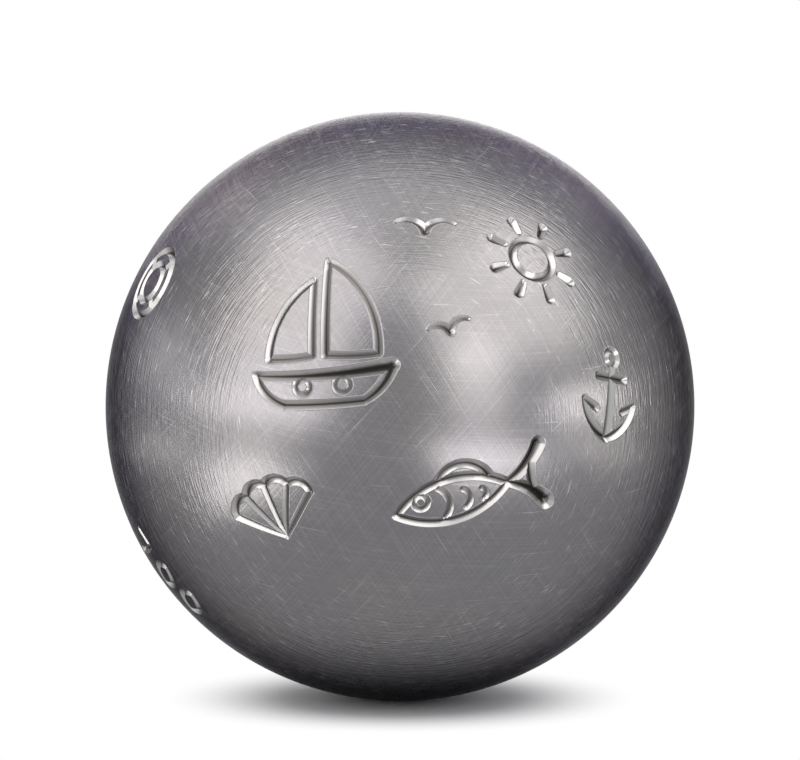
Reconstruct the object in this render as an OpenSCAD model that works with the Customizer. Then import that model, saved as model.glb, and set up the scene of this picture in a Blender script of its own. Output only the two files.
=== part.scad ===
// A boule for the game of petanque: a hollow steel ball made of two pressed
// half shells, centred on each other by a lip and welded all round, then
// turned to a true sphere and engraved with line figures.
// The weld lies in the XZ plane, so the front half shell faces -Y.
// The origin is the centre of the ball.

/* [Ball] */
// Diameter of the finished ball
ball_d = 73; // [70.5:0.5:80]
// Thickness of the steel wall
wall_t = 6.4; // [5.5:0.1:8]

/* [Centring lip] */
// Thickness of the lip on the front half shell
lip_t = 2; // [1.5:0.1:2.5]
// Length of the lip past the middle of the weld
lip_l = 3; // [2:0.1:4]
// Radial clearance between the lip and its rebate
lip_clearance = 0.05; // [0.02:0.01:0.2]
// Gap left past the end of the lip
lip_end_gap = 0.4; // [0.2:0.1:0.8]

/* [Weld] */
// Gap between the two half shells at the root of the weld
weld_gap = 1.2; // [0.8:0.1:2]
// Included angle of the weld's V
weld_angle = 60; // [50:5:70]
// Thickness of the first run of weld, laid on the lip
root_run_t = 1.9; // [1.2:0.1:2.5]

/* [Engraving] */
// Width of the main engraved lines at the surface
line_w = 1.05; // [0.8:0.05:1.3]
// Width of the fine engraved lines at the surface
fine_line_w = 0.75; // [0.5:0.05:0.9]
// Included angle of the engraving cutter
cutter_angle = 90; // [75:5:110]
// Height of the sailing boat
boat_h = 18.5; // [16:0.5:20]
// Length of the fish
fish_l = 19; // [16:0.5:21]
// Diameter over the sun's rays
sun_d = 11; // [9:0.5:12]
// Height of the anchor
anchor_h = 11; // [9:0.5:12]
// Height of the scallop shell
scallop_h = 7.5; // [7:0.5:9]
// Diameter of the life ring
life_ring_d = 9.5; // [8:0.5:10]
// Span of the large gull's wings
large_gull_w = 7; // [5:0.5:8]
// Span of the small gull's wings
small_gull_w = 5; // [4:0.5:6]
// Height of the figures in the weight mark
figure_h = 5; // [4:0.25:5.5]

/* [Hidden] */

$fn = 96;
// How far a cutting shape runs past the surface that it cuts
overrun = 0.1;
ball_r = ball_d / 2;
bore_r = ball_r - wall_t;
lip_r = bore_r + lip_t;
rebate_r = lip_r + lip_clearance;
cap_run_r = lip_r + root_run_t;
outside_r = ball_r + overrun;
// Turn of the front half shell that lays its surface's seam between two figures
seam_turn = -118;
// How far each engraved line runs on past its end, as a share of its width
run_on_share = 0.3;

// Each figure's place is its angles right of -Y and up, and its own turn.
// Its points are shares of its named size. A stroke gives the numbers of its two
// points, its bulge to the left as a share of its length, and its width at each
// end as a share of the line's width. A ring gives its centre and its radius.
boat_place = [-16, 20, 5];
boat_point_shares = [
    [0.03, 0.5], [0.03, -0.15], [0.38, -0.15],
    [-0.06, 0.36], [-0.06, -0.15], [-0.36, -0.15],
    [-0.46, -0.25], [0.47, -0.23], [0.28, -0.46], [-0.27, -0.46],
];
boat_stroke_shares = [
    [0, 1, 0, 0.9, 1.1], [1, 2, -0.03, 1, 0.9], [2, 0, -0.14, 1.06, 0.8],
    [3, 4, 0, 0.84, 0.96], [4, 5, 0.03, 0.88, 1.02], [5, 3, 0.12, 0.94, 0.76],
    [6, 7, -0.04, 1, 1.7], [7, 8, 0.1, 1.5, 1.02], [8, 9, 0.02, 1.08, 1.14], [9, 6, 0.12, 1.2, 0.94],
];
boat_ring_shares = [[-0.13, -0.35, 0.05], [0.14, -0.35, 0.05]];

fish_place = [14, -11, 14];
fish_point_shares = [
    [-0.5, -0.02], [0.24, 0.02], [0.5, 0.2], [0.48, -0.19],
    [-0.2, 0.1], [-0.2, -0.1], [-0.2, 0.15], [0.13, 0.1],
    [-0.05, 0.06], [-0.05, -0.06], [0.07, 0.035], [0.07, -0.035],
];
fish_stroke_shares = [
    [0, 1, 0.2, 1, 1.1], [1, 0, 0.17, 0.94, 1.06],
    [1, 2, -0.08, 1.04, 1.9], [1, 3, 0.08, 0.98, 2], [2, 3, -0.22, 1.1, 1.2],
    [4, 5, 0.25, 0.8, 0.9], [6, 7, 0.3, 0.86, 1.2],
    [8, 9, 0.3, 0.7, 0.8], [10, 11, 0.3, 0.66, 0.76],
];
fish_ring_shares = [[-0.33, 0.035, 0.045]];

sun_place = [32, 34.5, 8];
sun_rays = 8;
sun_point_shares = [for (ray = [0:sun_rays - 1], reach = [0.35, 0.5]) spoke(reach, ray * 360 / sun_rays)];
sun_stroke_shares = [for (ray = [0:sun_rays - 1]) [2 * ray, 2 * ray + 1, 0, 0.75, 1.25]];
sun_ring_shares = [[0, 0, 0.24]];

anchor_place = [44.5, 6.5, -12];
anchor_point_shares = [
    [0, 0.32], [0, -0.46], [-0.2, 0.2], [0.2, 0.2],
    [-0.38, -0.08], [0.38, -0.08], [-0.2, -0.16], [0.2, -0.16],
];
anchor_stroke_shares = [
    [0, 1, 0, 0.96, 1.3], [2, 3, 0, 1.04, 1.1],
    [1, 4, 0.14, 1.2, 0.9], [1, 5, -0.15, 1.14, 0.84],
    [4, 6, 0, 0.8, 0.96], [5, 7, 0, 0.76, 0.92],
];
anchor_ring_shares = [[0, 0.42, 0.09]];

scallop_place = [-25, -15, 20];
scallop_ribs = 5;
scallop_fan = 104;
scallop_hinge_share = [0, -0.42];
scallop_rim_share = 0.92;
scallop_point_shares = [
    scallop_hinge_share,
    for (rib = [0:scallop_ribs - 1])
        scallop_hinge_share
            + spoke(scallop_rim_share, 90 + scallop_fan / 2 - rib * scallop_fan / (scallop_ribs - 1)),
];
scallop_stroke_shares = [
    for (rib = [1:scallop_ribs]) [0, rib, 0, 0.47 + 0.03 * rib, 0.92 - 0.02 * rib],
    for (rib = [1:scallop_ribs - 1]) [rib, rib + 1, 0.26, 0.94 + 0.03 * rib, 1.06 - 0.04 * rib],
];

life_ring_place = [-69, 27, 0];
life_ring_ties = 4;
life_ring_point_shares = [
    for (tie = [0:life_ring_ties - 1], reach = [0.26, 0.46]) spoke(reach, 45 + tie * 360 / life_ring_ties)
];
life_ring_stroke_shares = [for (tie = [0:life_ring_ties - 1]) [2 * tie, 2 * tie + 1, 0, 0.8, 0.86]];
life_ring_ring_shares = [[0, 0, 0.26], [0, 0, 0.46]];

large_gull_place = [6.5, 42.5, -8];
small_gull_place = [10, 21, 10];
gull_point_shares = [[-0.5, 0.06], [0, -0.1], [0.5, 0.14]];
gull_stroke_shares = [[0, 1, 0.25, 0.6, 1.15], [1, 2, 0.25, 1.05, 0.55]];

weight_mark_place = [-69.5, -32.5, -56];
weight_mark_point_shares = [
    [-1.2, 0.5], [-0.68, 0.5], [-1.05, -0.5], [0, 0.5], [0, -0.5], [0.95, 0.5], [0.95, -0.5],
];
weight_mark_stroke_shares = [
    [0, 1, 0, 0.8, 0.9], [1, 2, 0.06, 0.84, 1],
    [3, 4, 0.3, 0.9, 0.96], [4, 3, 0.3, 0.84, 1],
    [5, 6, 0.3, 0.9, 0.96], [6, 5, 0.3, 0.84, 1],
];

// The strokes of a figure are cut one after another, and then its rings
ring_cut = 10;
cuts = ring_cut + 1;

// Point at a reach and an angle from the middle of a figure
function spoke(reach, angle) = reach * [cos(angle), sin(angle)];

function unit(v) = v / norm(v);

// Direction of a place on the ball, by its angles right of -Y and up
function facing(right, up) = [sin(right) * cos(up), -cos(right) * cos(up), sin(up)];

// Direction of the point [x, y] of a figure drawn on the plane that touches
// the ball at the figure's place, so that circles of the plane stay circles
function on_ball(place, point) =
    let(
        out = facing(place[0], place[1]),
        level = [cos(place[0]), sin(place[0]), 0],
        upright = cross(out, level),
        across = level * cos(place[2]) + upright * sin(place[2]),
        along = upright * cos(place[2]) - level * sin(place[2]),
        half = point / ball_d,
        spread = half * half
    )
    (2 * half.x * across + 2 * half.y * along + (1 - spread) * out) / (1 + spread);

// Middle of the arc from a to b, whose bulge to the left is a share of its length
function arc_middle(a, b, bulge) = (a + b) / 2 + bulge * [a.y - b.y, b.x - a.x];

function line_depth(width) = width / 2 / tan(cutter_angle / 2);

// Section of the cutter in the XY plane, with its point towards the ball's
// centre and its top above the surface by its rise
module cutter_section(depth, rise) {
    half_w = (depth + rise) * tan(cutter_angle / 2);
    polygon([[ball_r - depth, 0], [ball_r + rise, half_w], [ball_r + rise, -half_w]]);
}

// Cut along the circle of the ball through three directions, tilted about its
// middle so that it is from_w wide at its start and to_w at its end
module groove(from, by, to, from_w, to_w) {
    axis = unit(cross(by - from, to - by));
    polar = acos(from * axis);
    start = unit(from - (from * axis) * axis);
    side = cross(axis, start);
    turn = (atan2(to * side, to * start) + 360) % 360;
    run_on = run_on_share * max(from_w, to_w) / ball_r / sin(polar) * 180 / PI;
    along = unit(to - from);
    out = unit(by - (by * along) * along);
    fall = line_depth(to_w) - line_depth(from_w);
    tilt = asin(fall / ball_r / norm(to - from));
    translate(ball_r * by)
        rotate(a = tilt, v = cross(out, along))
            translate(-ball_r * by)
                multmatrix([
                    [start.x, side.x, axis.x, 0],
                    [start.y, side.y, axis.y, 0],
                    [start.z, side.z, axis.z, 0],
                ])
                    rotate(-run_on)
                        rotate_extrude(angle = turn + 2 * run_on)
                            rotate(90 - polar)
                                cutter_section(line_depth((from_w + to_w) / 2), overrun + abs(fall));
}

// Engraved circle round a point of a figure
module ring(place, centre, radius, width) {
    at = on_ball(place, centre);
    rotate([0, acos(at.z), atan2(at.y, at.x)])
        rotate_extrude()
            rotate(90 - radius / ball_r * 180 / PI)
                cutter_section(line_depth(width), overrun);
}

// One cut of a figure: one of its strokes, or all its rings
module figure(cut, place, size, point_shares, stroke_shares, ring_shares = [], ring_w = fine_line_w) {
    if (cut < len(stroke_shares)) {
        stroke = stroke_shares[cut];
        a = size * point_shares[stroke[0]];
        b = size * point_shares[stroke[1]];
        m = arc_middle(a, b, stroke[2]);
        groove(on_ball(place, a), on_ball(place, m), on_ball(place, b), stroke[3] * line_w, stroke[4] * line_w);
    }
    if (cut == ring_cut)
        for (ring_share = ring_shares)
            ring(place, size * [ring_share.x, ring_share.y], size * ring_share.z, ring_w);
}

module boat(cut) {
    figure(cut, boat_place, boat_h, boat_point_shares, boat_stroke_shares, boat_ring_shares);
}

module fish(cut) {
    figure(cut, fish_place, fish_l, fish_point_shares, fish_stroke_shares, fish_ring_shares);
}

module sun(cut) {
    figure(cut, sun_place, sun_d, sun_point_shares, sun_stroke_shares, sun_ring_shares, line_w);
}

module anchor(cut) {
    figure(cut, anchor_place, anchor_h, anchor_point_shares, anchor_stroke_shares, anchor_ring_shares);
}

module scallop(cut) {
    figure(cut, scallop_place, scallop_h, scallop_point_shares, scallop_stroke_shares);
}

module life_ring(cut) {
    figure(
        cut, life_ring_place, life_ring_d,
        life_ring_point_shares, life_ring_stroke_shares, life_ring_ring_shares, line_w
    );
}

module gulls(cut) {
    figure(cut, large_gull_place, large_gull_w, gull_point_shares, gull_stroke_shares);
    figure(cut, small_gull_place, small_gull_w, gull_point_shares, gull_stroke_shares);
}

module weight_mark(cut) {
    figure(cut, weight_mark_place, figure_h, weight_mark_point_shares, weight_mark_stroke_shares);
}

// What its children are, with the first cuts of every figure made in it
module engraved(made) {
    if (made == 0)
        children();
    else
        difference() {
            engraved(made - 1)
                children();
            cut = made - 1;
            boat(cut);
            fish(cut);
            sun(cut);
            anchor(cut);
            scallop(cut);
            life_ring(cut);
            gulls(cut);
            weight_mark(cut);
        }
}

// Body turned about Z that fills the ball inside the outline of its lower side
module turned_half(lower_side) {
    difference() {
        intersection() {
            sphere(r = ball_r);
            rotate_extrude()
                polygon(concat(lower_side, [[outside_r, outside_r], [0, outside_r]]));
        }
        sphere(r = bore_r);
    }
}

// Height of the weld's edge above its middle, at a distance from its axis
function weld_edge(radius) = weld_gap / 2 + (radius - lip_r) * tan(weld_angle / 2);

module weld_run(inner_r, outer_r) {
    rotate_extrude()
        polygon([
            [inner_r, -weld_edge(inner_r)],
            [outer_r, -weld_edge(outer_r)],
            [outer_r, weld_edge(outer_r)],
            [inner_r, weld_edge(inner_r)],
        ]);
}

module front_half_shell() {
    color("dimgray")
        engraved(cuts)
            rotate([90, 0, 0])
                rotate(seam_turn)
                    turned_half([
                        [0, -lip_l],
                        [lip_r, -lip_l],
                        [lip_r, weld_edge(lip_r)],
                        [outside_r, weld_edge(outside_r)],
                    ]);
}

module rear_half_shell() {
    color("gray")
        rotate([-90, 0, 0])
            turned_half([
                [0, lip_l + lip_end_gap],
                [rebate_r, lip_l + lip_end_gap],
                [rebate_r, weld_edge(rebate_r)],
                [outside_r, weld_edge(outside_r)],
            ]);
}

module weld_root_run() {
    color("darkgray")
        rotate([90, 0, 0])
            weld_run(lip_r, cap_run_r);
}

module weld_cap_run() {
    color("silver")
        rotate([90, 0, 0])
            intersection() {
                sphere(r = ball_r);
                weld_run(cap_run_r, outside_r);
            }
}

front_half_shell();
rear_half_shell();
weld_root_run();
weld_cap_run();
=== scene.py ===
"""A steel petanque boule on a plain pale floor.

The ball is two pressed half shells and the weld that joins them. The front half
shell is engraved with line figures by a pointed cutter. Lengths are millimetres
until a mesh is made, and the ball's middle is the origin. A direction is a unit
vector from there, and a place on the ball is named by its direction.
"""

import logging
import math
from dataclasses import dataclass, replace
from enum import Enum

import bpy
import numpy as np
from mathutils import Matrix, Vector
from mathutils.geometry import delaunay_2d_cdt
from numpy.typing import NDArray


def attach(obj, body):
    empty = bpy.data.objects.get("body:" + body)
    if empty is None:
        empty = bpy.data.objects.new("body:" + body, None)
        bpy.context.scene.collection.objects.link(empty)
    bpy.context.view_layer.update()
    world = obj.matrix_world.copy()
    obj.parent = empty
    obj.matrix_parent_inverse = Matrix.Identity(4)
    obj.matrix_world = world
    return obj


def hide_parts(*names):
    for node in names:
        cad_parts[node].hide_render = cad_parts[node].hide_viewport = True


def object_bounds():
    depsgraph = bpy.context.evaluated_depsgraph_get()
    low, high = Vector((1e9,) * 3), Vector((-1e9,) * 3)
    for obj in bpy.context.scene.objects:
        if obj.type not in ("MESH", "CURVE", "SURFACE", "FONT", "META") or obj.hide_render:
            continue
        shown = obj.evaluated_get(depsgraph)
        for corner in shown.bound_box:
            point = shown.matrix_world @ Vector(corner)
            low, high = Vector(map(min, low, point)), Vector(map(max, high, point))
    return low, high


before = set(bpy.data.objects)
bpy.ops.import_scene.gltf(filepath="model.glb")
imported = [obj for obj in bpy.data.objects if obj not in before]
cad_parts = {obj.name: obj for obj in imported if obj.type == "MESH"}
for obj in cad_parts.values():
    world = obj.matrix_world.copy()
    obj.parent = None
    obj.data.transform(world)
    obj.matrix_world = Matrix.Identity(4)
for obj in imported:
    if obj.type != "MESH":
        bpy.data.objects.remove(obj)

CAD_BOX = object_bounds()

Floats = NDArray[np.float64]
Ints = NDArray[np.int64]
Colour = tuple[float, float, float]
Socket = bpy.types.NodeSocket
Sockets = dict[str, Socket]

LOG = logging.getLogger("boule")
MM = 0.001
TINY = 1e-12
FULL_TURN = 2 * math.pi
DEGREES_ROUND = 360
GOLDEN_ANGLE = math.pi * (3 - math.sqrt(5))
ROOT_BODY = "root"
WHITE: Colour = (1.0, 1.0, 1.0)
LAMP_COLOUR: Colour = (1.0, 0.975, 0.945)


def unit(vectors: Floats) -> Floats:
    """Give each vector a length of one."""
    return vectors / np.linalg.norm(vectors, axis=-1, keepdims=True)


def dot(a: Floats, b: Floats) -> Floats:
    """Multiply each pair of vectors, and keep one number for each."""
    return np.sum(a * b, axis=-1)


def opaque(colour: Colour) -> tuple[float, float, float, float]:
    """Give a colour the fourth value that sockets of colours take."""
    return (*colour, 1.0)


def new_object(name: str, data: bpy.types.ID) -> bpy.types.Object:
    """Make an object of the scene.

    Args:
        name: The object's name.
        data: Its mesh, lamp or camera.

    Returns:
        The object, at the origin.
    """
    made = bpy.data.objects.new(name, data)
    bpy.context.scene.collection.objects.link(made)
    return made


@dataclass(frozen=True)
class BallSizes:
    """The sizes that the pieces of the ball share."""

    ball_d: float = 73.0
    wall_t: float = 6.4
    lip_t: float = 2.0
    lip_l: float = 3.0
    lip_clearance: float = 0.05
    lip_end_gap: float = 0.4
    weld_gap: float = 1.2
    weld_angle: float = 60.0
    root_run_t: float = 1.9

    @property
    def ball_r(self) -> float:
        """Radius of the ball."""
        return self.ball_d / 2

    @property
    def bore_r(self) -> float:
        """Radius of the hollow."""
        return self.ball_r - self.wall_t

    @property
    def lip_r(self) -> float:
        """Outer radius of the lip."""
        return self.bore_r + self.lip_t

    @property
    def rebate_r(self) -> float:
        """Radius of the rebate that fits over the lip."""
        return self.lip_r + self.lip_clearance

    @property
    def cap_run_r(self) -> float:
        """Radius at which the two runs of weld meet."""
        return self.lip_r + self.root_run_t

    def weld_edge(self, radius: float) -> float:
        """Height of the weld's edge over its middle, at a distance from its axis."""
        return self.weld_gap / 2 + (radius - self.lip_r) * math.tan(math.radians(self.weld_angle / 2))

    def rim_polar(self) -> float:
        """Find where the weld's edge meets the ball.

        The edge is a cone round the weld's axis. A point of it at distance r has
        the height weld_edge(r), and the sum of the two squares is the ball's
        radius squared, which is a quadratic in r.

        Returns:
            The angle at the ball's middle from the axis to that circle.
        """
        rise = math.tan(math.radians(self.weld_angle / 2))
        foot = self.weld_edge(0.0)
        a, b, c = 1 + rise**2, 2 * rise * foot, foot**2 - self.ball_r**2
        radius = (-b + math.sqrt(b * b - 4 * a * c)) / (2 * a)
        return math.atan2(radius, foot + rise * radius)

    def rim(self) -> tuple[float, float]:
        """Radius and height of the circle where the weld's edge meets the ball."""
        polar = self.rim_polar()
        return (self.ball_r * math.sin(polar), self.ball_r * math.cos(polar))


@dataclass(frozen=True)
class Cutter:
    """The pointed cutter that engraves the figures, and the burr that it leaves."""

    line_w: float = 1.05
    fine_line_w: float = 0.75
    angle: float = 90.0
    burr_w: float = 0.13
    burr_h: float = 0.018

    @property
    def spread(self) -> float:
        """How much a line's half width grows with its depth."""
        return math.tan(math.radians(self.angle / 2))

    def burr_height(self, reach: Floats) -> Floats:
        """Height of the burr at a reach, which is negative outside the cut."""
        return np.clip(1 - np.abs(-2 * reach / self.burr_w - 1), 0, 1) * self.burr_h

    def burr_slope(self, reach: Floats) -> Floats:
        """Rise of the burr towards the cut at a reach, for each millimetre."""
        share = -reach / self.burr_w
        return np.where(share > 1, 0.0, np.sign(share - 0.5) * -2 * self.burr_h / self.burr_w)


SIZES = BallSizes()
CUTTER = Cutter()


def spoke(reach: float, angle: float) -> tuple[float, float]:
    """Point at a reach and an angle in degrees from the middle of a figure."""
    return (reach * math.cos(math.radians(angle)), reach * math.sin(math.radians(angle)))


def facing(right: float, up: float) -> Floats:
    """Direction of a place on the ball, by its angles right of -Y and up."""
    right, up = math.radians(right), math.radians(up)
    return np.array([math.sin(right) * math.cos(up), -math.cos(right) * math.cos(up), math.sin(up)])


@dataclass(frozen=True)
class Figure:
    """A line drawing on the ball, whose points are shares of its size.

    Its place is its angles right of -Y and up, and its own turn, in degrees.
    A stroke gives the numbers of its two points, its bulge to the left as a share
    of its length, and its width at each end as a share of the line's width.
    A ring gives its centre and its radius.
    """

    place: tuple[float, float, float]
    size: float
    points: tuple[tuple[float, float], ...] = ()
    strokes: tuple[tuple[int, int, float, float, float], ...] = ()
    rings: tuple[tuple[float, float, float], ...] = ()
    ring_w: float = CUTTER.fine_line_w

    def on_ball(self, points: Floats) -> Floats:
        """Lay flat points of the drawing on the ball.

        The drawing's plane touches the ball at the figure's place, and each point
        goes along the straight line to the far end of the ball's diameter from
        there, so that circles of the plane stay circles.

        Args:
            points: Flat points, in millimetres.

        Returns:
            Their directions.
        """
        right, _, turn = (math.radians(angle) for angle in self.place)
        out = facing(self.place[0], self.place[1])
        level = np.array([math.cos(right), math.sin(right), 0.0])
        upright = np.cross(out, level)
        across = level * math.cos(turn) + upright * math.sin(turn)
        along = upright * math.cos(turn) - level * math.sin(turn)
        half = points / SIZES.ball_d
        spread = dot(half, half)[..., None]
        flat = 2 * half[..., :1] * across + 2 * half[..., 1:] * along
        return (flat + (1 - spread) * out) / (1 + spread)


BOAT = Figure(
    place=(-16, 20, 5),
    size=18.5,
    points=(
        (0.03, 0.5), (0.03, -0.15), (0.38, -0.15), (-0.06, 0.36), (-0.06, -0.15),
        (-0.36, -0.15), (-0.46, -0.25), (0.47, -0.23), (0.28, -0.46), (-0.27, -0.46),
    ),
    strokes=(
        (0, 1, 0, 0.9, 1.1), (1, 2, -0.03, 1, 0.9), (2, 0, -0.14, 1.06, 0.8),
        (3, 4, 0, 0.84, 0.96), (4, 5, 0.03, 0.88, 1.02), (5, 3, 0.12, 0.94, 0.76),
        (6, 7, -0.04, 1, 1.7), (7, 8, 0.1, 1.5, 1.02), (8, 9, 0.02, 1.08, 1.14), (9, 6, 0.12, 1.2, 0.94),
    ),
    rings=((-0.13, -0.35, 0.05), (0.14, -0.35, 0.05)),
)

FISH = Figure(
    place=(14, -11, 14),
    size=19,
    points=(
        (-0.5, -0.02), (0.24, 0.02), (0.5, 0.2), (0.48, -0.19), (-0.2, 0.1), (-0.2, -0.1),
        (-0.2, 0.15), (0.13, 0.1), (-0.05, 0.06), (-0.05, -0.06), (0.07, 0.035), (0.07, -0.035),
    ),
    strokes=(
        (0, 1, 0.2, 1, 1.1), (1, 0, 0.17, 0.94, 1.06),
        (1, 2, -0.08, 1.04, 1.9), (1, 3, 0.08, 0.98, 2), (2, 3, -0.22, 1.1, 1.2),
        (4, 5, 0.25, 0.8, 0.9), (6, 7, 0.3, 0.86, 1.2), (8, 9, 0.3, 0.7, 0.8), (10, 11, 0.3, 0.66, 0.76),
    ),
    rings=((-0.33, 0.035, 0.045),),
)

SUN_RAYS = 8
SUN_RAY_ENDS = (0.35, 0.5)
SUN = Figure(
    place=(32, 34.5, 8),
    size=11,
    points=tuple(
        spoke(reach, ray * DEGREES_ROUND / SUN_RAYS) for ray in range(SUN_RAYS) for reach in SUN_RAY_ENDS
    ),
    strokes=tuple((2 * ray, 2 * ray + 1, 0, 0.75, 1.25) for ray in range(SUN_RAYS)),
    rings=((0, 0, 0.24),),
    ring_w=CUTTER.line_w,
)

ANCHOR = Figure(
    place=(44.5, 6.5, -12),
    size=11,
    points=(
        (0, 0.32), (0, -0.46), (-0.2, 0.2), (0.2, 0.2),
        (-0.38, -0.08), (0.38, -0.08), (-0.2, -0.16), (0.2, -0.16),
    ),
    strokes=(
        (0, 1, 0, 0.96, 1.3), (2, 3, 0, 1.04, 1.1), (1, 4, 0.14, 1.2, 0.9), (1, 5, -0.15, 1.14, 0.84),
        (4, 6, 0, 0.8, 0.96), (5, 7, 0, 0.76, 0.92),
    ),
    rings=((0, 0.42, 0.09),),
)

SCALLOP_RIBS = 5
SCALLOP_FAN = 104
SCALLOP_HINGE = (0.0, -0.42)
SCALLOP_RIM = 0.92


def scallop_rim_point(rib: int) -> tuple[float, float]:
    """End of one of the scallop's ribs, on its rim."""
    across, up = spoke(SCALLOP_RIM, 90 + SCALLOP_FAN / 2 - rib * SCALLOP_FAN / (SCALLOP_RIBS - 1))
    return (SCALLOP_HINGE[0] + across, SCALLOP_HINGE[1] + up)


SCALLOP = Figure(
    place=(-25, -15, 20),
    size=7.5,
    points=(SCALLOP_HINGE, *(scallop_rim_point(rib) for rib in range(SCALLOP_RIBS))),
    strokes=(
        *((0, rib, 0, 0.47 + 0.03 * rib, 0.92 - 0.02 * rib) for rib in range(1, SCALLOP_RIBS + 1)),
        *((rib, rib + 1, 0.26, 0.94 + 0.03 * rib, 1.06 - 0.04 * rib) for rib in range(1, SCALLOP_RIBS)),
    ),
)

LIFE_RING_TIES = 4
LIFE_RING_TURN = 45
LIFE_RING_REACHES = (0.26, 0.46)
LIFE_RING = Figure(
    place=(-69, 27, 0),
    size=9.5,
    points=tuple(
        spoke(reach, LIFE_RING_TURN + tie * DEGREES_ROUND / LIFE_RING_TIES)
        for tie in range(LIFE_RING_TIES)
        for reach in LIFE_RING_REACHES
    ),
    strokes=tuple((2 * tie, 2 * tie + 1, 0, 0.8, 0.86) for tie in range(LIFE_RING_TIES)),
    rings=tuple((0, 0, reach) for reach in LIFE_RING_REACHES),
    ring_w=CUTTER.line_w,
)

GULL_POINTS = ((-0.5, 0.06), (0.0, -0.1), (0.5, 0.14))
GULL_STROKES = ((0, 1, 0.25, 0.6, 1.15), (1, 2, 0.25, 1.05, 0.55))
LARGE_GULL = Figure(place=(6.5, 42.5, -8), size=7, points=GULL_POINTS, strokes=GULL_STROKES)
SMALL_GULL = Figure(place=(10, 21, 10), size=5, points=GULL_POINTS, strokes=GULL_STROKES)

WEIGHT_MARK = Figure(
    place=(-69.5, -32.5, -56),
    size=5,
    points=((-1.2, 0.5), (-0.68, 0.5), (-1.05, -0.5), (0, 0.5), (0, -0.5), (0.95, 0.5), (0.95, -0.5)),
    strokes=(
        (0, 1, 0, 0.8, 0.9), (1, 2, 0.06, 0.84, 1),
        (3, 4, 0.3, 0.9, 0.96), (4, 3, 0.3, 0.84, 1),
        (5, 6, 0.3, 0.9, 0.96), (6, 5, 0.3, 0.84, 1),
    ),
)

FIGURES = (BOAT, FISH, SUN, ANCHOR, SCALLOP, LIFE_RING, LARGE_GULL, SMALL_GULL, WEIGHT_MARK)
LEAST_LINE_STEPS = 3
LEAST_CAP_STEPS = 4


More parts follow.
